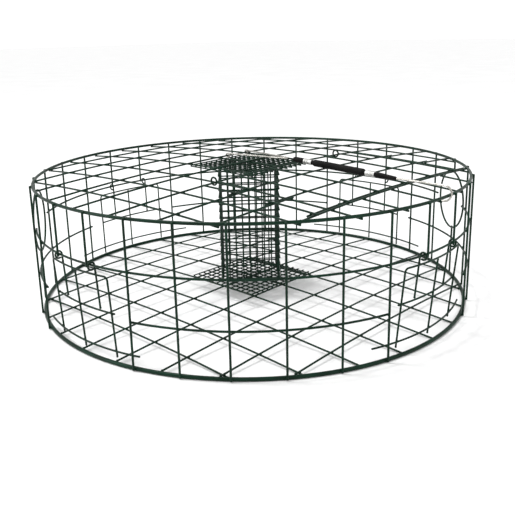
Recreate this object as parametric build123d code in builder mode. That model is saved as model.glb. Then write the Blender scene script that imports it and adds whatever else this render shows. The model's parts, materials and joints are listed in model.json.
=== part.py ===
"""Round welded-wire crab trap with four swing gates, a hinged lid held by a rubber strap, and a bait column.

Frame: origin on the ground at the centre of the round base, +Z up, +Y to the back.
The gates face -Y (front), +X (right), +Y (back) and -X (left); the lid opens in the front half of the top.
Every wire is its own solid. Welded wires lie against one another with a hair of room (weld_gap).
"""

import os
from math import asin, cos, degrees, radians, sin, sqrt

from build123d import *

os.makedirs("parts", exist_ok=True)

# ---------------------------------------------------------------- driving dimensions, in mm
mesh_pitch = 75.0  # 3 inch welded mesh, in the wall, floor, top and lid
weld_gap = 0.04  # room left between wires that are welded together

top_rim_radius = 382.0
top_rim_wire = 2.5  # wire radii are half of the wire's thickness
top_rim_z = 225.5
bottom_rim_radius = 385.0
bottom_rim_wire = 3.15
bottom_rim_z = bottom_rim_wire - 0.1  # the underside is worn to a narrow flat that stands on the ground

wall_wire = 1.75
upright_count = 32
upright_step = 360.0 / upright_count
upright_top_z = 226.4
upright_foot_z = 2.4
middle_hoop_z = 149.0
lower_hoop_z = 75.0

mesh_wire = 1.5
layer_step = 2 * mesh_wire + weld_gap
floor_dome = 15.8  # the floor mesh bows up by this much at its centre
floor_rim_z = 2.0  # centre of the lower layer's wires at the rim
top_dome = 16.6
top_rim_drop = top_rim_wire + mesh_wire + weld_gap  # the lower layer passes just under the top rim
top_offset_x = -6.0  # the top mesh is laid a little off centre
top_offset_y = -3.0

escape_ring_radius = 54.25  # to the centre of the ring's wire
escape_ring_angle = -39.375  # measured from +X; the second ring is opposite

gate_wire = 1.5
gate_leg_offset = {"front": 78.0, "right": 78.0, "back": 78.0, "left": 71.0}
gate_hinge_offset = 43.0  # the eyes sit just outside the two short uprights
gate_top_z = 135.0
gate_crossbar_z = 77.0
gate_stop_bar_z = 19.5
gate_leg_end_z = 9.0
gate_corner_radius = 6.0
gate_stop_bar_half_angle = {"front": 19.1, "right": 21.4, "back": 21.4, "left": 17.3}
gate_eye_radius = 5.5
gate_hang_angle = {"front": 4.8, "right": 0.0, "back": 0.0, "left": 2.6}  # inward from shut, in degrees
gate_eye_drop = 1.9  # the eye hangs on the hoop, so its centre is below the hoop's

fine_pitch = 12.7  # half-inch bait mesh
fine_wire = 1.15
fine_step = 2 * fine_wire + weld_gap
plate_cells = 12
column_cells = 8
column_centre = (-6.0, 4.0)  # the column and its plates are tied in a little off centre
floor_plate_centre = (-9.0, -1.0)
top_plate_centre = (5.0, 8.0)
bait_top_room = 0.8  # room over the top plate for the strap's eyes to turn
plate_reach = 1.6  # how far the plate's wires pass its outermost crossings

lid_first_x = -197.5  # the lid's left side wire
lid_wire_count = 6
lid_back_y = -86.0
lid_front_y = -309.0
lid_cross_ys = (-148.0, -223.0, -297.0)
lid_cross_left_x = -205.0
lid_cross_right_x = 230.0
lid_arm_xs = (-168.0, 147.5)
lid_arm_end_y = -160.0
lid_eye_radius = 6.0
lid_eye_rise = 2.5

strap_x = 19.5
strap_tube_radius = 5.8
strap_neck_radius = 3.4
strap_back_y = -84.0
strap_back_crimp_y = -116.0  # middle of the crimp
strap_front_crimp_y = -244.0
strap_front_y = -292.0
crimp_length = 17.0
crimp_radius = 4.7
steel_wire = 1.6
hook_radius = 11.7
bail_eye_xs = (10.0, 60.0)
bail_eye_radius = 3.6
bail_eye_rise = 0.3

# ---------------------------------------------------------------- derived sizes
upright_foot_radius = bottom_rim_radius + bottom_rim_wire + wall_wire + weld_gap
upright_top_radius = top_rim_radius + top_rim_wire + wall_wire + weld_gap
upright_lean = (upright_top_radius - upright_foot_radius) / (top_rim_z - bottom_rim_z)


def upright_radius_at(z):
    """Distance from the trap's axis to an upright's centre line at height z."""
    return upright_foot_radius + upright_lean * (z - bottom_rim_z)


middle_hoop_radius = upright_radius_at(middle_hoop_z) - 2 * wall_wire - weld_gap
lower_hoop_radius = upright_radius_at(lower_hoop_z) - 2 * wall_wire - weld_gap
escape_cut_angle = degrees(asin((escape_ring_radius + wall_wire + 1.3) / middle_hoop_radius))

# doorway edges: each doorway is three upright spacings wide
doorway_half_angle = 1.5 * upright_step
gate_outer_radius = upright_radius_at(gate_stop_bar_z) - wall_wire - gate_wire - 0.25
gate_middle_radius = gate_outer_radius - 2 * gate_wire - weld_gap
gate_inner_radius = gate_middle_radius - 2 * gate_wire - weld_gap

top_long_z = top_rim_z - top_rim_drop
top_cross_z = top_long_z + layer_step
lid_long_z = top_cross_z + layer_step


def dome_height(rim_z, rise, rim_radius, x, y):
    """Height of a bowed mesh surface at x, y: rim_z at the rim, rim_z + rise in the centre."""
    return rim_z + rise * (1 - (x * x + y * y) / rim_radius**2)


def top_height(layer_z, x, y):
    return dome_height(layer_z, top_dome, top_rim_radius, x, y)


def on_circle(radius, angle, z):
    """Point at this distance from the trap's axis, angle in degrees from +X."""
    return Vector(radius * cos(radians(angle)), radius * sin(radians(angle)), z)


# ---------------------------------------------------------------- wires, drawn in the open BuildPart
def straight_wire(start, end, radius):
    start, end = Vector(start), Vector(end)
    with BuildSketch(Plane(origin=start, z_dir=end - start)) as section:
        Circle(radius)
    extrude(section.sketch, amount=(end - start).length)


def upright(angle, low_z, high_z):
    """Leaning wall upright with level ends."""
    foot = on_circle(upright_radius_at(low_z), angle, low_z)
    head = on_circle(upright_radius_at(high_z), angle, high_z)
    with BuildSketch(Plane(origin=foot)) as section:
        Circle(wall_wire)
    extrude(section.sketch, amount=(head - foot).length, dir=(head - foot).normalized())


def hoop_arc(radius, z, start_angle, end_angle, wire):
    """Level arc of wire round the trap's axis."""
    start = Plane(origin=on_circle(radius, start_angle, z), z_dir=on_circle(1, start_angle + 90, 0))
    with BuildSketch(start) as section:
        Circle(wire)
    revolve(section.sketch, axis=Axis.Z, revolution_arc=end_angle - start_angle)


def bowed_wire(start, middle, end, radius):
    """Wire bent to the arc through three points."""
    with BuildLine() as path:
        ThreePointArc(start, middle, end)
    with BuildSketch(Plane(origin=path.line @ 0, z_dir=path.line % 0)) as section:
        Circle(radius)
    sweep(section.sketch, path=path.line)


def bent_wire(points, bend_radius, wire, close=False):
    """Wire through the corner points, each corner rounded to the bend radius."""
    with BuildLine() as path:
        FilletPolyline(*points, radius=bend_radius, close=close)
    with BuildSketch(Plane(origin=path.line @ 0, z_dir=path.line % 0)) as section:
        Circle(wire)
    sweep(section.sketch, path=path.line)


def ring(centre, normal, centre_line_radius, wire):
    """Closed ring of round wire."""
    centre, normal = Vector(centre), Vector(normal).normalized()
    level = Vector(1, 0, 0) if abs(normal.Z) > 0.9 else normal.cross(Vector(0, 0, 1)).normalized()
    steep = normal.cross(level)
    out = level * cos(radians(37)) + steep * sin(radians(37))
    along = steep * cos(radians(37)) - level * sin(radians(37))
    with BuildSketch(Plane(origin=centre + out * centre_line_radius, x_dir=out, z_dir=along)) as section:
        Circle(wire)
    revolve(section.sketch, axis=Axis(centre, normal), revolution_arc=360)


def lattice(reach, offset):
    """Positions of the parallel mesh wires that fit inside the radius reach."""
    places = [offset + n * mesh_pitch for n in range(-5, 6)]
    return [place for place in places if abs(place) < reach]


def finish(builder, name, hinge=None, angle=0.0):
    """Write the part out, turned about its hinge when it rests at an angle."""
    part = builder.part.rotate(hinge, angle) if angle else builder.part
    part.label = name
    export_step(part, f"parts/{name}.step")


# ---------------------------------------------------------------- rims and hoops
with BuildPart() as top_rim:
    ring((0, 0, top_rim_z), (0, 0, 1), top_rim_radius, top_rim_wire)
finish(top_rim, "top_rim")

with BuildPart() as bottom_rim:
    with BuildSketch(Plane.XZ):
        with Locations((bottom_rim_radius, bottom_rim_z)):
            Circle(bottom_rim_wire)
        with Locations((bottom_rim_radius, -bottom_rim_wire)):
            Rectangle(4 * bottom_rim_wire, 2 * bottom_rim_wire, mode=Mode.SUBTRACT)
    revolve(axis=Axis.Z, revolution_arc=360)
finish(bottom_rim, "bottom_rim")

# the middle hoop stops at each escape ring
with BuildPart() as middle_hoop:
    for side in (0, 180):
        first = escape_ring_angle + side + escape_cut_angle
        hoop_arc(middle_hoop_radius, middle_hoop_z, first, first + 180 - 2 * escape_cut_angle, wall_wire)
finish(middle_hoop, "middle_hoop")

# the lower hoop runs only between the doorways
with BuildPart() as lower_hoops:
    for quarter in range(4):
        first = 90 * quarter + doorway_half_angle - 0.4
        last = 90 * (quarter + 1) - doorway_half_angle + 0.4
        hoop_arc(lower_hoop_radius, lower_hoop_z, first, last, wall_wire)
finish(lower_hoops, "lower_hoops")

# ---------------------------------------------------------------- wall uprights
upright_angles = [(n + 0.5) * upright_step for n in range(upright_count)]


def from_doorway(angle):
    """Smallest angle between this upright and the middle of a doorway."""
    return abs((angle + 45) % 90 - 45)


escape_angles = [escape_ring_angle % 360, (escape_ring_angle + 180) % 360]
full_angles = [
    angle
    for angle in upright_angles
    if from_doorway(angle) > doorway_half_angle - 1 and min(abs(angle - cut) for cut in escape_angles) > 1
]
doorway_angles = [angle for angle in upright_angles if from_doorway(angle) < doorway_half_angle - 1]

# a few uprights were welded on slightly out of their even spacing
set_by_hand = {208.125: -0.3, 219.375: -0.8, 230.625: -0.55}

with BuildPart() as wall_uprights:
    for angle in full_angles:
        upright(angle + set_by_hand.get(angle, 0), upright_foot_z, upright_top_z)
finish(wall_uprights, "wall_uprights")

# over each doorway two short uprights tie the middle hoop to the top rim
with BuildPart() as doorway_uprights:
    for angle in doorway_angles:
        upright(angle, middle_hoop_z - 2.5, upright_top_z)
finish(doorway_uprights, "doorway_uprights")

escape_reach = escape_ring_radius - 0.5  # the cut ends lie over the ring's wire
with BuildPart() as escape_uprights:
    for angle in escape_angles:
        upright(angle, upright_foot_z, middle_hoop_z - escape_reach)
        upright(angle, middle_hoop_z + escape_reach, upright_top_z)
finish(escape_uprights, "escape_uprights")



def escape_ring(angle):
    """Ring laid against the inside of the leaning wall."""
    outward = on_circle(1, angle, -upright_lean)
    ring(on_circle(middle_hoop_radius, angle, middle_hoop_z), outward, escape_ring_radius, wall_wire)


with BuildPart() as escape_ring_right:
    escape_ring(escape_ring_angle)
finish(escape_ring_right, "escape_ring_right")

with BuildPart() as escape_ring_left:
    escape_ring(escape_ring_angle + 180)
finish(escape_ring_left, "escape_ring_left")

# ---------------------------------------------------------------- floor mesh, butted against the bottom rim
floor_reach = bottom_rim_radius - bottom_rim_wire - weld_gap


def floor_wire(offset, along_x, rim_z):
    half = sqrt((floor_reach - 0.15) ** 2 - (abs(offset) + mesh_wire) ** 2)
    points = []
    for along in (-half, 0, half):
        x, y = (along, offset) if along_x else (offset, along)
        points.append((x, y, dome_height(rim_z, floor_dome, floor_reach, x, y)))
    bowed_wire(*points, mesh_wire)


with BuildPart() as floor_long_wires:
    for offset in lattice(floor_reach - 60, 0):
        floor_wire(offset, False, floor_rim_z)
finish(floor_long_wires, "floor_long_wires")

with BuildPart() as floor_cross_wires:
    for offset in lattice(floor_reach - 60, 0):
        floor_wire(offset, True, floor_rim_z + layer_step)
finish(floor_cross_wires, "floor_cross_wires")

# ---------------------------------------------------------------- top mesh, open under the lid
opening_left = top_offset_x - 2 * mesh_pitch
opening_right = top_offset_x + 3 * mesh_pitch
opening_back = top_offset_y - mesh_pitch
opening_front = top_offset_y - 4 * mesh_pitch
weld_overlap = mesh_wire + 1.0  # a cut wire ends this far past the wire it is welded to


def top_wire(offset, along_x, layer_z, low, high, radius=mesh_wire):
    """Wire that follows the bow of the top."""
    points = []
    for along in (low, (low + high) / 2, high):
        x, y = (along, offset) if along_x else (offset, along)
        points.append((x, y, top_height(layer_z, x, y)))
    bowed_wire(*points, radius)


with BuildPart() as top_long_wires:
    under_rim = top_rim_radius + 2.3
    for x in lattice(top_rim_radius - 60, top_offset_x):
        half = sqrt(under_rim**2 - (abs(x) + mesh_wire) ** 2)
        if opening_left < x < opening_right:
            top_wire(x, False, top_long_z, -half, opening_front + weld_overlap)
            top_wire(x, False, top_long_z, opening_back - weld_overlap, half)
        else:
            top_wire(x, False, top_long_z, -half, half)
finish(top_long_wires, "top_long_wires")

with BuildPart() as top_cross_wires:
    inside_rim = top_rim_radius - top_rim_wire - 0.2
    for y in lattice(top_rim_radius - 60, top_offset_y):
        half = sqrt(inside_rim**2 - (abs(y) + mesh_wire) ** 2)
        if opening_front < y < opening_back:
            top_wire(y, True, top_cross_z, -half, opening_left + weld_overlap)
            top_wire(y, True, top_cross_z, opening_right - weld_overlap, half)
        else:
            top_wire(y, True, top_cross_z, -half, half)
finish(top_cross_wires, "top_cross_wires")

# ---------------------------------------------------------------- bait column and its two plates
floor_top = dome_height(floor_rim_z + layer_step, floor_dome, floor_reach, 0, 0) + mesh_wire
bait_floor_z = floor_top + fine_wire + weld_gap
plate_half = plate_cells * fine_pitch / 2
bait_top_z = top_height(top_long_z, plate_half + 5, plate_half + 8) - mesh_wire - fine_wire - bait_top_room


def plate_wires(centre, low_z, high_z):
    """Square of fine mesh: wires along Y at low_z under wires along X at high_z."""
    x, y = centre
    reach = plate_half + plate_reach
    for n in range(plate_cells + 1):
        place = n * fine_pitch - plate_half
        straight_wire((x + place, y - reach, low_z), (x + place, y + reach, low_z), fine_wire)
        straight_wire((x - reach, y + place, high_z), (x + reach, y + place, high_z), fine_wire)


with BuildPart() as bait_floor_plate:
    plate_wires(floor_plate_centre, bait_floor_z, bait_floor_z + fine_step)
finish(bait_floor_plate, "bait_floor_plate")

with BuildPart() as bait_top_plate:
    plate_wires(top_plate_centre, bait_top_z - fine_step, bait_top_z)
finish(bait_top_plate, "bait_top_plate")

column_low = bait_floor_z + fine_step + fine_wire + weld_gap
column_high = bait_top_z - fine_step - fine_wire - weld_gap
column_half = column_cells * fine_pitch / 2


def turned(x, y, z):
    """The column stands with its corners over the axes, turned 45 degrees from its plates."""
    return Vector(x, y, 0).rotate(Axis.Z, 45) + Vector(*column_centre, z)


column_stations = [n * fine_pitch - column_half for n in range(column_cells)]
with BuildPart() as bait_column_uprights:
    for along in column_stations:
        sides = ((along, -column_half), (column_half, along), (-along, column_half), (-column_half, -along))
        for x, y in sides:
            straight_wire(turned(x, y, column_low), turned(x, y, column_high), fine_wire)
finish(bait_column_uprights, "bait_column_uprights")

hoop_half = column_half + fine_step + 0.02
hoop_count = int((column_high - column_low - 4 * fine_wire) / fine_pitch) + 1
first_hoop_z = (column_low + column_high - (hoop_count - 1) * fine_pitch) / 2
with BuildPart() as bait_column_hoops:
    for n in range(hoop_count):
        z = first_hoop_z + n * fine_pitch
        corners = [(-1, -1), (1, -1), (1, 1), (-1, 1)]
        bent_wire([turned(hoop_half * x, hoop_half * y, z) for x, y in corners], 1.8, fine_wire, close=True)
finish(bait_column_hoops, "bait_column_hoops")

# ---------------------------------------------------------------- swing gates
gates = {"front": -90, "right": 0, "back": 90, "left": -180}
hinge_height = middle_hoop_z - gate_eye_drop


def gate_point(facing, radius, sideways, z):
    """Point on a wall-shaped surface, this far sideways from the doorway's middle."""
    return on_circle(radius, facing + degrees(asin(sideways / radius)), z)


def gate_frame(facing, leg_offset):
    """Two long legs joined over the doorway by a bar with round corners."""
    turn = degrees(asin(leg_offset / gate_middle_radius))
    corner_z = gate_top_z - gate_corner_radius
    foot, shoulder, bar_end = {}, {}, {}
    for side in (-1, 1):
        foot[side] = on_circle(gate_middle_radius, facing + side * turn, gate_leg_end_z)
        shoulder[side] = on_circle(gate_middle_radius, facing + side * turn, corner_z)
        inward = on_circle(-side, facing + side * turn + 90, 0)
        bar_end[side] = shoulder[side] + inward * gate_corner_radius + Vector(0, 0, gate_corner_radius)
    along_bar = on_circle(1, facing - turn + 90, 0)
    with BuildLine() as path:
        Line(foot[-1], shoulder[-1])
        TangentArc(shoulder[-1], bar_end[-1], tangent=(0, 0, 1))
        TangentArc(bar_end[-1], bar_end[1], tangent=along_bar)
        TangentArc(shoulder[1], bar_end[1], tangent=(0, 0, 1))
        Line(shoulder[1], foot[1])
    with BuildSketch(Plane(origin=foot[-1])) as section:
        Circle(gate_wire)
    sweep(section.sketch, path=path.line)


def eye_end(centre, radius, inner, upward, turn):
    """Point on an eye's centre line, turned from where its shank joins it towards upward."""
    return centre + inner * (radius * cos(radians(turn))) + upward * (radius * sin(radians(turn)))


def gate_hinge_tine(facing, side):
    """Short tine whose top is bent into an open eye round the middle hoop."""
    sideways = side * gate_hinge_offset
    eye = gate_point(facing, middle_hoop_radius, sideways, hinge_height)
    inward, up = on_circle(-1, facing, 0), Vector(0, 0, 1)
    shank_top = eye_end(eye, gate_eye_radius, inward, up, 0)
    shank_foot = Vector(shank_top.X, shank_top.Y, gate_crossbar_z + 2 * gate_wire + weld_gap)
    with BuildLine() as path:
        Line(shank_foot, shank_top)
        ThreePointArc(
            shank_top,
            eye_end(eye, gate_eye_radius, inward, up, 150),
            eye_end(eye, gate_eye_radius, inward, up, 300),
        )
    with BuildSketch(Plane(origin=shank_foot)) as section:
        Circle(gate_wire)
    sweep(section.sketch, path=path.line)


for gate_name, facing in gates.items():
    hinge_chord = sqrt(middle_hoop_radius**2 - gate_hinge_offset**2)
    hinge = Axis(on_circle(hinge_chord, facing, middle_hoop_z), on_circle(1, facing + 90, 0))
    hang_angle = gate_hang_angle[gate_name]

    with BuildPart() as frame:
        gate_frame(facing, gate_leg_offset[gate_name])
    finish(frame, f"{gate_name}_gate_frame", hinge, hang_angle)

    with BuildPart() as centre_tine:
        top = on_circle(gate_middle_radius, facing, gate_top_z - 2 * gate_wire - weld_gap)
        straight_wire(on_circle(gate_middle_radius, facing, gate_leg_end_z), top, gate_wire)
    finish(centre_tine, f"{gate_name}_gate_centre_tine", hinge, hang_angle)

    with BuildPart() as hinge_tines:
        for side in (-1, 1):
            gate_hinge_tine(facing, side)
    finish(hinge_tines, f"{gate_name}_gate_hinge_tines", hinge, hang_angle)

    with BuildPart() as bars:
        reach = degrees(asin((gate_leg_offset[gate_name] + gate_wire) / gate_inner_radius))
        hoop_arc(gate_inner_radius, gate_crossbar_z, facing - reach, facing + reach, gate_wire)
        stop = gate_stop_bar_half_angle[gate_name]
        hoop_arc(gate_outer_radius, gate_stop_bar_z, facing - stop, facing + stop, gate_wire)
    finish(bars, f"{gate_name}_gate_bars", hinge, hang_angle)

# ---------------------------------------------------------------- lid
with BuildPart() as lid_long_wires:
    for n in range(lid_wire_count):
        top_wire(lid_first_x + n * mesh_pitch, False, lid_long_z, lid_front_y, lid_back_y)
finish(lid_long_wires, "lid_long_wires")

with BuildPart() as lid_cross_wires:
    for y in lid_cross_ys:
        top_wire(y, True, top_cross_z, lid_cross_left_x, lid_cross_right_x)
finish(lid_cross_wires, "lid_cross_wires")

# two wire arms: an eye round the hinge wire and a tail welded on the lid's first cross wire
with BuildPart() as lid_hinge_arms:
    for x in lid_arm_xs:
        pivot_z = top_height(top_cross_z, x, opening_back)
        ring((x, opening_back, pivot_z + lid_eye_rise), (1, 0, 0), lid_eye_radius, mesh_wire)
        top_wire(x, False, lid_long_z, lid_arm_end_y, opening_back - lid_eye_radius - 0.5, mesh_wire - 0.1)
finish(lid_hinge_arms, "lid_hinge_arms")

# ---------------------------------------------------------------- rubber strap that holds the lid down
bail_y = top_offset_y + mesh_pitch  # the fixed wire that the bail turns on


def strap_axis(y):
    """Point on the strap's centre line, which lies on the lid's first two cross wires."""
    lift = mesh_wire + strap_tube_radius + 0.2
    rest = [top_height(top_cross_z, strap_x, cross_y) + lift for cross_y in lid_cross_ys]
    slope = (rest[1] - rest[0]) / (lid_cross_ys[1] - lid_cross_ys[0])
    return Vector(strap_x, y, rest[0] + slope * (y - lid_cross_ys[0]))


strap_direction = (strap_axis(strap_front_y) - strap_axis(strap_back_y)).normalized()


def strap_station(y):
    return (strap_axis(y) - strap_axis(strap_back_y)).length


half_crimp = crimp_length / 2 + 0.3
with BuildPart() as rubber_strap:
    # profile in the plane through the strap's axis: distance along the strap, distance from the axis
    strap_plane = Plane(origin=strap_axis(strap_back_y), x_dir=strap_direction, z_dir=(1, 0, 0))
    outline = [
        (strap_station(strap_back_y), 0),
        (strap_station(strap_back_y), 3.4),
        (strap_station(strap_back_y) + 2.5, 4.6),
        (strap_station(strap_back_crimp_y) - half_crimp - 3, 4.6),
        (strap_station(strap_back_crimp_y) - half_crimp, strap_neck_radius),
        (strap_station(strap_back_crimp_y) + half_crimp, strap_neck_radius),
        (strap_station(strap_back_crimp_y) + half_crimp + 6, strap_tube_radius),
        (strap_station(strap_front_crimp_y) - half_crimp - 6, strap_tube_radius),
        (strap_station(strap_front_crimp_y) - half_crimp, strap_neck_radius),
        (strap_station(strap_front_crimp_y) + half_crimp, strap_neck_radius),
        (strap_station(strap_front_crimp_y) + half_crimp + 3, 4.8),
        (strap_station(strap_front_y) - 2, 3.0),
        (strap_station(strap_front_y), 2.2),
        (strap_station(strap_front_y), 0),
    ]
    with BuildSketch(strap_plane):
        Polygon(*outline, align=None)
    revolve(axis=Axis(strap_plane.origin, strap_plane.x_dir), revolution_arc=360)
finish(rubber_strap, "rubber_strap")

with BuildPart() as strap_crimps:
    for y in (strap_back_crimp_y, strap_front_crimp_y):
        start = strap_axis(y) - strap_direction * (crimp_length / 2)
        with BuildSketch(Plane(origin=start, z_dir=strap_direction)):
            Circle(crimp_radius)
            Circle(strap_neck_radius + weld_gap, mode=Mode.SUBTRACT)
        extrude(amount=crimp_length)
finish(strap_crimps, "strap_crimps")

# V of steel wire from the strap's back end to two open eyes on the fixed wire behind the lid
bail_apex = strap_axis(strap_back_y) - strap_direction * (steel_wire + 0.1) + Vector(0, -3.5, 0)


def bail_eye(x):
    """Leg's start and the far end and middle of the eye that it bends into."""
    centre = Vector(x, bail_y, top_height(top_cross_z, x, bail_y) + bail_eye_rise)
    leg = (bail_apex - centre).normalized()
    for _ in range(4):
        upward = leg.cross(Vector(0, 0, 1)).normalized().cross(leg).normalized()
        leg = (bail_apex - centre - upward * bail_eye_radius).normalized()
    middle = eye_end(centre, bail_eye_radius, upward, leg * -1, 150)
    tip = eye_end(centre, bail_eye_radius, upward, leg * -1, 300)
    return centre + upward * bail_eye_radius, middle, tip


with BuildPart() as strap_bail:
    left_eye, right_eye = (bail_eye(x) for x in bail_eye_xs)
    with BuildLine() as bail_path:
        ThreePointArc(left_eye[2], left_eye[1], left_eye[0])
        FilletPolyline(left_eye[0], bail_apex, right_eye[0], radius=4.0)
        ThreePointArc(right_eye[0], right_eye[1], right_eye[2])
    bail_wire = bail_path.wire()
    with BuildSketch(Plane(origin=bail_wire @ 0, z_dir=bail_wire % 0)):
        Circle(steel_wire)
    sweep(path=bail_wire)
finish(strap_bail, "strap_bail")

# steel wire from the strap's front end, over the top rim and curled back under it
with BuildPart() as rim_hook:
    hook_start = strap_axis(strap_front_y) + strap_direction * 0.2
    rim_y = -sqrt(top_rim_radius**2 - strap_x**2)
    hook_y = rim_y + 6.6  # the rim lies against the inside of the hook
    hook_z = hook_start.Z - hook_radius
    with BuildLine() as hook_path:
        Line(hook_start, (strap_x, hook_y, hook_start.Z))
        ThreePointArc(
            (strap_x, hook_y, hook_start.Z),
            (strap_x, hook_y - hook_radius, hook_z),
            (strap_x, hook_y, hook_z - hook_radius),
        )
        Line((strap_x, hook_y, hook_z - hook_radius), (strap_x, hook_y + 11.0, hook_z - hook_radius))
    with BuildSketch(Plane(origin=hook_start, z_dir=(0, -1, 0))):
        Circle(steel_wire)
    sweep(path=hook_path.line)
finish(rim_hook, "rim_hook")
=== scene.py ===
"""Studio scene of a round welded-wire crab trap: coated wire, steel fittings and a black rubber strap."""

import json
import math

import bmesh
import bpy
import numpy as np
from mathutils import Matrix, Vector


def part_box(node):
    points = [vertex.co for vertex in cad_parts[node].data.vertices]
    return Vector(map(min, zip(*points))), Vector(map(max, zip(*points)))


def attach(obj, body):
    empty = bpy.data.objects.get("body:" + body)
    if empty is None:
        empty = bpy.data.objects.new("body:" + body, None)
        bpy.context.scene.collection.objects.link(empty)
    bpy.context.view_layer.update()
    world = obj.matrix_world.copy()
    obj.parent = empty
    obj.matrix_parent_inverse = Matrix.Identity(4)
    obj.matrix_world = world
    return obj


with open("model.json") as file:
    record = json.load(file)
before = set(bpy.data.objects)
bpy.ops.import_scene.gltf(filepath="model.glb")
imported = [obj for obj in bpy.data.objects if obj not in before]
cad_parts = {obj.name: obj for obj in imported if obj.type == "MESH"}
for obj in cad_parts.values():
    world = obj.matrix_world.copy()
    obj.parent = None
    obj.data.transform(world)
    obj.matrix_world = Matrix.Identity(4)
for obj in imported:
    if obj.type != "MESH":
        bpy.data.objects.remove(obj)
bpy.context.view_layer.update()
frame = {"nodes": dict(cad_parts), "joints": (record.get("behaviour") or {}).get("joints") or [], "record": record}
nodes = frame["nodes"]


# ---------------------------------------------------------------- materials
def node_material(name, build):
    material = bpy.data.materials.new(name)
    material.use_nodes = True
    tree = material.node_tree
    shader = tree.nodes["Principled BSDF"]
    build(tree, shader)
    return material


def noise(tree, scale, detail=3.0, roughness=0.5, stretch=(1, 1, 1)):
    coordinates = tree.nodes.new("ShaderNodeTexCoord")
    mapping = tree.nodes.new("ShaderNodeMapping")
    mapping.inputs["Scale"].default_value = stretch
    texture = tree.nodes.new("ShaderNodeTexNoise")
    texture.inputs["Scale"].default_value = scale
    texture.inputs["Detail"].default_value = detail
    texture.inputs["Roughness"].default_value = roughness
    tree.links.new(coordinates.outputs["Object"], mapping.inputs["Vector"])
    tree.links.new(mapping.outputs["Vector"], texture.inputs["Vector"])
    return texture.outputs["Fac"]


def ramp(tree, factor, low, high, low_at=0.35, high_at=0.65):
    """Colour ramp between two colours or two grey levels."""
    node = tree.nodes.new("ShaderNodeValToRGB")
    for element, value, at in zip(node.color_ramp.elements, (low, high), (low_at, high_at)):
        element.position = at
        element.color = (*value, 1) if isinstance(value, tuple) else (value, value, value, 1)
    tree.links.new(factor, node.inputs["Fac"])
    return node.outputs["Color"]


def bump(tree, shader, height, strength, distance):
    node = tree.nodes.new("ShaderNodeBump")
    node.inputs["Strength"].default_value = strength
    node.inputs["Distance"].default_value = distance
    tree.links.new(height, node.inputs["Height"])
    tree.links.new(node.outputs["Normal"], shader.inputs["Normal"])


def coated_wire(dark, light, gloss_low, gloss_high):
    """Dipped green plastic coat: slow changes of tone, a slightly wavy gloss and small pimples."""

    def build(tree, shader):
        tree.links.new(ramp(tree, noise(tree, 30), dark, light), shader.inputs["Base Color"])
        tree.links.new(ramp(tree, noise(tree, 120), gloss_low, gloss_high), shader.inputs["Roughness"])
        bump(tree, shader, noise(tree, 700, 4), 0.35, 0.0006)
        shader.inputs["Specular IOR Level"].default_value = 0.2
        shader.inputs["Specular Tint"].default_value = (0.7, 1, 0.82, 1)
        shader.inputs["Coat Weight"].default_value = 0.03
        shader.inputs["Coat Roughness"].default_value = 0.12

    return build


def bright_steel(tree, shader):
    tone = ramp(tree, noise(tree, 60), (0.34, 0.33, 0.3), (0.66, 0.64, 0.6))
    tree.links.new(tone, shader.inputs["Base Color"])
    tree.links.new(ramp(tree, noise(tree, 900, 5), 0.16, 0.36), shader.inputs["Roughness"])
    shader.inputs["Metallic"].default_value = 1
    bump(tree, shader, noise(tree, 900, 5), 0.2, 0.0003)


def dull_steel(tree, shader):
    tone = ramp(tree, noise(tree, 90), (0.4, 0.4, 0.385), (0.7, 0.7, 0.68))
    tree.links.new(tone, shader.inputs["Base Color"])
    tree.links.new(ramp(tree, noise(tree, 500, 5), 0.28, 0.5), shader.inputs["Roughness"])
    shader.inputs["Metallic"].default_value = 1
    bump(tree, shader, noise(tree, 400, 5), 0.4, 0.0005)


def black_rubber(tree, shader):
    tone = ramp(tree, noise(tree, 40), (0.003, 0.003, 0.003), (0.009, 0.0085, 0.008))
    tree.links.new(tone, shader.inputs["Base Color"])
    tree.links.new(ramp(tree, noise(tree, 160), 0.42, 0.62), shader.inputs["Roughness"])
    shader.inputs["Specular IOR Level"].default_value = 0.08
    bump(tree, shader, noise(tree, 1200, 4), 0.3, 0.0004)


def studio_floor(tree, shader):
    tone = ramp(tree, noise(tree, 3), (0.9, 0.9, 0.9), (0.93, 0.93, 0.93))
    tree.links.new(tone, shader.inputs["Base Color"])
    shader.inputs["Roughness"].default_value = 0.9
    shader.inputs["Specular IOR Level"].default_value = 0.1


wire_coat = coated_wire((0.0008, 0.009, 0.004), (0.002, 0.021, 0.0105), 0.28, 0.46)
fine_wire_coat = coated_wire((0.0008, 0.009, 0.004), (0.002, 0.02, 0.01), 0.3, 0.5)
materials = {
    "green_wire": node_material("green_wire_coat", wire_coat),
    "fine_green_wire": node_material("fine_wire_coat", fine_wire_coat),
    "bright_steel": node_material("drawn_steel", bright_steel),
    "crimp_steel": node_material("crimp_steel", dull_steel),
    "black_rubber": node_material("strap_rubber", black_rubber),
}
slot_of = {entry["node"]: entry["material_slot"] for entry in frame["record"]["subparts"]}
for node_name, obj in nodes.items():
    obj.data.materials.clear()
    obj.data.materials.append(materials[slot_of[node_name]])
    obj.data.shade_smooth()

MM = 0.001
mesh_data = {}


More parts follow.
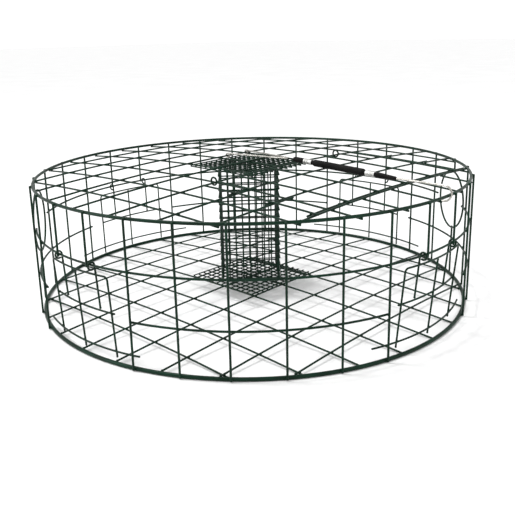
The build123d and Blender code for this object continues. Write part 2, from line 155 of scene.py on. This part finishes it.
def solids(node):
    """The vertices of each separate solid of a CAD node, as arrays, in metres."""
    if node not in mesh_data:
        mesh = nodes[node].data
        points = np.empty(len(mesh.vertices) * 3)
        mesh.vertices.foreach_get("co", points)
        points = points.reshape(-1, 3)
        # vertices at one place count as one, so that faces which don't share them still join
        keys, group = np.unique(np.round(points / 1e-6).astype(np.int64), axis=0, return_inverse=True)
        group = group.ravel()
        parent = list(range(len(keys)))

        def root(item):
            while parent[item] != item:
                parent[item] = parent[parent[item]]
                item = parent[item]
            return item

        for edge in mesh.edges:
            a, b = root(group[edge.vertices[0]]), root(group[edge.vertices[1]])
            if a != b:
                parent[a] = b
        roots = np.array([root(item) for item in group])
        mesh_data[node] = [points[roots == name] for name in np.unique(roots)]
    return mesh_data[node]


def wire_ends(points):
    """Centres of the two end faces of one long wire."""
    centre = points.mean(axis=0)
    along = np.linalg.svd(points - centre, full_matrices=False)[2][0]
    reach = (points - centre) @ along
    low = points[reach < reach.min() + 0.4 * MM].mean(axis=0)
    high = points[reach > reach.max() - 0.4 * MM].mean(axis=0)
    return low, high


def beads(name, places, material, body, detail=2):
    """One piece made of many small blobs: places holds (centre, (x, y, z) half sizes)."""
    base = bpy.data.meshes.new(name + "_seed")
    seed = bmesh.new()
    bmesh.ops.create_icosphere(seed, subdivisions=detail, radius=1)
    seed.to_mesh(base)
    seed.free()
    unit = np.array([v.co[:] for v in base.vertices])
    faces = np.array([f.vertices[:] for f in base.polygons])
    bpy.data.meshes.remove(base)
    vertices = np.concatenate([np.asarray(centre) + unit * np.asarray(size) for centre, size in places])
    polygons = np.concatenate([faces + n * len(unit) for n in range(len(places))])
    mesh = bpy.data.meshes.new(name)
    mesh.from_pydata(vertices.tolist(), [], polygons.tolist())
    mesh.shade_smooth()
    mesh.materials.append(material)
    obj = bpy.data.objects.new(name, mesh)
    bpy.context.scene.collection.objects.link(obj)
    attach(obj, body)
    return obj


def end_beads(node_names, wire, grow=1.12):
    """Rounded drips of coating on the cut ends of straight wires."""
    places = []
    for node in node_names:
        for points in solids(node):
            for end in wire_ends(points):
                places.append((end, (wire * grow,) * 3))
    return places


class Lattice:
    """Two families of bowed wires: where each wire runs, and the height of each family."""

    def __init__(self, along_y, along_x):
        self.y_wires = self.read(along_y, 0)
        self.x_wires = self.read(along_x, 1)
        self.y_fit = self.fit(self.y_wires)
        self.x_fit = self.fit(self.x_wires)

    @staticmethod
    def read(node, across):
        wires = []
        for points in solids(node):
            low, high = sorted(wire_ends(points), key=lambda end: end[1 - across])
            wires.append((low, high))
        return wires

    @staticmethod
    def fit(wires):
        """Height = top - bow * radius squared, from the wires' ends."""
        ends = np.array([end for wire in wires for end in wire])
        system = np.stack([np.ones(len(ends)), -(ends[:, 0] ** 2 + ends[:, 1] ** 2)], axis=1)
        return np.linalg.lstsq(system, ends[:, 2], rcond=None)[0]

    def crossings(self, other=None):
        """Middle of each place where a wire of one family lies on a wire of the other."""
        x_wires, x_fit = (other.x_wires, other.x_fit) if other else (self.x_wires, self.x_fit)
        found = []
        for low, high in self.y_wires:
            x = (low[0] + high[0]) / 2
            for left, right in x_wires:
                y = (left[1] + right[1]) / 2
                if low[1] <= y <= high[1] and left[0] <= x <= right[0]:
                    square = x * x + y * y
                    z = (self.y_fit[0] - self.y_fit[1] * square + x_fit[0] - x_fit[1] * square) / 2
                    found.append((x, y, z))
        return found


def ring_of(node):
    """Radius of the centre line and height of a round rim."""
    low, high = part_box(node)
    wire = (high[2] - low[2]) / 2
    return (high[0] - low[0]) / 2 - wire, (high[2] + low[2]) / 2


def radii(points):
    """Distance of each point from the trap's axis."""
    return np.hypot(points[:, 0], points[:, 1])


def middle_of(values):
    return (values.min() + values.max()) / 2


WALL_WIRE, MESH_WIRE, GATE_WIRE, FINE_WIRE = 1.75 * MM, 1.5 * MM, 1.5 * MM, 1.15 * MM
green, fine_green = materials["green_wire"], materials["fine_green_wire"]

# ---------------------------------------------------------------- weld beads and drips of coating
top_mesh = Lattice("top_long_wires", "top_cross_wires")
floor_mesh = Lattice("floor_long_wires", "floor_cross_wires")
lid_mesh = Lattice("lid_long_wires", "lid_cross_wires")
weld = (2.1 * MM, 2.1 * MM, 1.7 * MM)
beads("top_mesh_welds", [(place, weld) for place in top_mesh.crossings()], green, "cage")
beads("floor_mesh_welds", [(place, weld) for place in floor_mesh.crossings()], green, "cage")
beads("lid_mesh_welds", [(place, weld) for place in lid_mesh.crossings()], green, "lid")
beads("top_wire_ends", end_beads(["top_long_wires", "top_cross_wires"], MESH_WIRE), green, "cage")
beads("lid_wire_ends", end_beads(["lid_long_wires", "lid_cross_wires"], MESH_WIRE), green, "lid")

# the wall: each upright is welded to both rims and to the hoops it passes
top_radius, top_z = ring_of("top_rim")
_, bottom_z = ring_of("bottom_rim")
hoop_z = sum(c[2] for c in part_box("middle_hoop")) / 2
lower_z = sum(c[2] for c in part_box("lower_hoops")) / 2
wall_places, wall_ends = [], []
tip = (WALL_WIRE * 1.05, WALL_WIRE * 1.05, 0.9 * MM)
for node in ("wall_uprights", "doorway_uprights", "escape_uprights"):
    for points in solids(node):
        foot, head = sorted(wire_ends(points), key=lambda end: end[2])
        wall_ends += [(foot, tip), (head, tip)]
        outward = np.array([foot[0], foot[1], 0]) / math.hypot(foot[0], foot[1])
        levels = [(top_z, -1)]
        if node == "wall_uprights":
            angle = abs((math.degrees(math.atan2(foot[1], foot[0])) + 45) % 90 - 45)
            levels += [(hoop_z, -1), (bottom_z, -1)] + ([(lower_z, -1)] if angle > 15 else [])
        elif node == "doorway_uprights":
            levels += [(hoop_z, -1)]
        for z, side in levels:
            if foot[2] - MM < z < head[2] + MM:
                share = (z - foot[2]) / (head[2] - foot[2])
                place = foot + (head - foot) * share + outward * side * WALL_WIRE
                wall_places.append((place, (2.2 * MM, 2.2 * MM, 2.3 * MM)))
beads("wall_welds", wall_places, green, "cage")
beads("upright_tips", wall_ends, green, "cage")

# the top's long wires run under the rim, the others stop against it
rim_places = []
for low, high in top_mesh.y_wires + top_mesh.x_wires:
    for end in (low, high):
        radius = math.hypot(end[0], end[1])
        if radius > top_radius - 8 * MM:
            place = np.array([end[0], end[1], 0]) * (top_radius / radius if end[2] < top_z - 3 * MM else 1)
            place[2] = (end[2] + top_z) / 2
            rim_places.append((place, (2.4 * MM, 2.4 * MM, 2.2 * MM)))
beads("rim_welds", rim_places, green, "cage")
floor_places = []
for low, high in floor_mesh.y_wires + floor_mesh.x_wires:
    for end in (low, high):
        floor_places.append((end, (2.2 * MM, 2.2 * MM, 2.0 * MM)))
beads("floor_rim_welds", floor_places, green, "cage")

# gates
for joint in frame["joints"]:
    if not joint["child"].endswith("_gate"):
        continue
    gate = joint["child"]
    outward = Vector((joint["pos_m"][0], joint["pos_m"][1], 0)).normalized()
    facing = math.atan2(outward.y, outward.x)
    # the gate's wires are read as if it were shut, and the blobs go where it hangs
    pivot = Matrix.Translation(joint["pos_m"])
    turn = Matrix.Rotation(math.radians(joint["range_deg"][0]), 4, Vector(joint["axis"]))
    shut = pivot @ turn @ pivot.inverted()

    def shut_solids(node):
        return [points @ np.array(shut.to_3x3()).T + np.array(shut.translation) for points in solids(node)]

    frame_points = shut_solids(gate + "_frame")[0]
    legs = frame_points[frame_points[:, 2] < 0.1]
    sideways = legs @ np.array([-outward.y, outward.x, 0])
    leg_offset = (sideways.max() - sideways.min()) / 2 - GATE_WIRE
    frame_radius = middle_of(radii(legs))
    frame_top = frame_points[:, 2].max() - GATE_WIRE
    places = []
    for bar in shut_solids(gate + "_bars"):
        bar_radius = middle_of(radii(bar))
        z = middle_of(bar[:, 2])
        for offset in (-leg_offset, 0, leg_offset):
            angle = facing + math.asin(offset / frame_radius)
            middle = (bar_radius + frame_radius) / 2
            places.append(((middle * math.cos(angle), middle * math.sin(angle), z), (2.0 * MM,) * 3))
        for angle in (math.atan2(end[1], end[0]) for end in wire_ends(bar)):
            reach = (bar_radius * math.cos(angle), bar_radius * math.sin(angle), z)
            places.append((reach, (GATE_WIRE * 1.1,) * 3))
    for side in (-1, 1):
        angle = facing + side * math.asin(leg_offset / frame_radius)
        foot = (frame_radius * math.cos(angle), frame_radius * math.sin(angle), frame_points[:, 2].min())
        places.append((foot, (GATE_WIRE * 1.1,) * 3))
    for tine in shut_solids(gate + "_hinge_tines"):
        foot = tine[tine[:, 2] < tine[:, 2].min() + 0.4 * MM].mean(axis=0)
        places.append((foot, (2.0 * MM,) * 3))
        places.append(((foot[0], foot[1], frame_top), (2.0 * MM,) * 3))
    centre = shut_solids(gate + "_centre_tine")[0]
    for end in wire_ends(centre):
        places.append((end, (GATE_WIRE * 1.15,) * 3))
    hung = shut.inverted()
    beads(gate + "_welds", [(hung @ Vector(place), size) for place, size in places], green, gate)

# the bait column's welds, where its uprights meet its hoops, and its plates' welds
column_places = []
hoop_levels = [middle_of(points[:, 2]) for points in solids("bait_column_hoops")]
low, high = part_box("bait_column_hoops")
middle = np.array([(low[0] + high[0]) / 2, (low[1] + high[1]) / 2])
for points in solids("bait_column_uprights"):
    foot, head = sorted(wire_ends(points), key=lambda end: end[2])
    local = foot[:2] - middle
    turned = np.array([local[0] + local[1], local[1] - local[0]]) / math.sqrt(2)
    outward_x = np.sign(turned[0]) if abs(turned[0]) > abs(turned[1]) else 0
    outward_y = 0 if outward_x else np.sign(turned[1])
    push = np.array([outward_x, outward_y])
    push = np.array([push[0] - push[1], push[0] + push[1], 0]) / math.sqrt(2) * FINE_WIRE
    for z in hoop_levels:
        column_places.append((np.array([foot[0], foot[1], z]) + push, (1.28 * MM, 1.28 * MM, 1.2 * MM)))
beads("bait_column_welds", column_places, fine_green, "cage", 1)
plate_places = []
for plate in ("bait_floor_plate", "bait_top_plate"):
    across, along = [], []
    for points in solids(plate):
        size = points.max(axis=0) - points.min(axis=0)
        (along if size[1] > size[0] else across).append(points.mean(axis=0))
    for a in along:
        for b in across:
            plate_places.append(((a[0], b[1], (a[2] + b[2]) / 2), (1.32 * MM, 1.32 * MM, 1.25 * MM)))
beads("bait_plate_welds", plate_places, fine_green, "cage", 1)

# ---------------------------------------------------------------- floor, light and camera
bpy.ops.mesh.primitive_plane_add(size=60, location=(0, 0, 0))
floor = bpy.context.object
floor.name = "studio_floor"
floor.data.materials.append(node_material("floor_paper", studio_floor))

scene = bpy.context.scene
world = bpy.data.worlds.new("studio_world")
world.use_nodes = True
links = world.node_tree.links
background = world.node_tree.nodes["Background"]
background.inputs["Color"].default_value = (1, 1, 1, 1)
rays = world.node_tree.nodes.new("ShaderNodeLightPath")
strength = world.node_tree.nodes.new("ShaderNodeMapRange")
strength.inputs["To Min"].default_value = 0.78  # what lights the trap
strength.inputs["To Max"].default_value = 1.05  # what the camera sees behind the floor
links.new(rays.outputs["Is Camera Ray"], strength.inputs["Value"])
links.new(strength.outputs["Result"], background.inputs["Strength"])
scene.world = world
scene.view_settings.view_transform = "Standard"


def area_light(name, location, size, power):
    data = bpy.data.lights.new(name, "AREA")
    data.size = size
    data.energy = power
    light = bpy.data.objects.new(name, data)
    scene.collection.objects.link(light)
    light.location = location
    light.rotation_euler = (-Vector(location)).to_track_quat("-Z", "Y").to_euler()


SUN_FROM = Vector((-0.15, 0.28, 1))
area_light("key_softbox", (-1.0, 0.9, 3.0), 1.2, 26)
area_light("fill_softbox", (0.4, -2.4, 1.6), 1.6, 8)
area_light("edge_softbox", (-2.2, 1.4, 1.3), 1.0, 16)

sun_data = bpy.data.lights.new("sun", "SUN")
sun_data.angle = math.radians(5)
sun_data.energy = 1.0
sun = bpy.data.objects.new("sun", sun_data)
scene.collection.objects.link(sun)
sun.rotation_euler = (-SUN_FROM).to_track_quat("-Z", "Y").to_euler()

CAMERA_AT = (-0.8947, -0.8583, 0.4595)
CAMERA_TOWARDS = (0.6896, 0.6544, -0.3102)
CAMERA_ROLL = -1.23  # degrees
camera_data = bpy.data.cameras.new("camera")
camera_data.lens = 48.1
camera_data.sensor_width = 36
camera_data.clip_end = 200
camera = bpy.data.objects.new("camera", camera_data)
scene.collection.objects.link(camera)
view = Vector(CAMERA_TOWARDS).normalized()
level = view.cross(Vector((0, 0, 1))).normalized()
raised = level.cross(view)
roll = math.radians(CAMERA_ROLL)
right = level * math.cos(roll) + raised * math.sin(roll)
top = raised * math.cos(roll) - level * math.sin(roll)
turned_to_view = Matrix((right, top, -view)).transposed().to_4x4()
camera.matrix_world = Matrix.Translation(CAMERA_AT) @ turned_to_view
scene.camera = camera
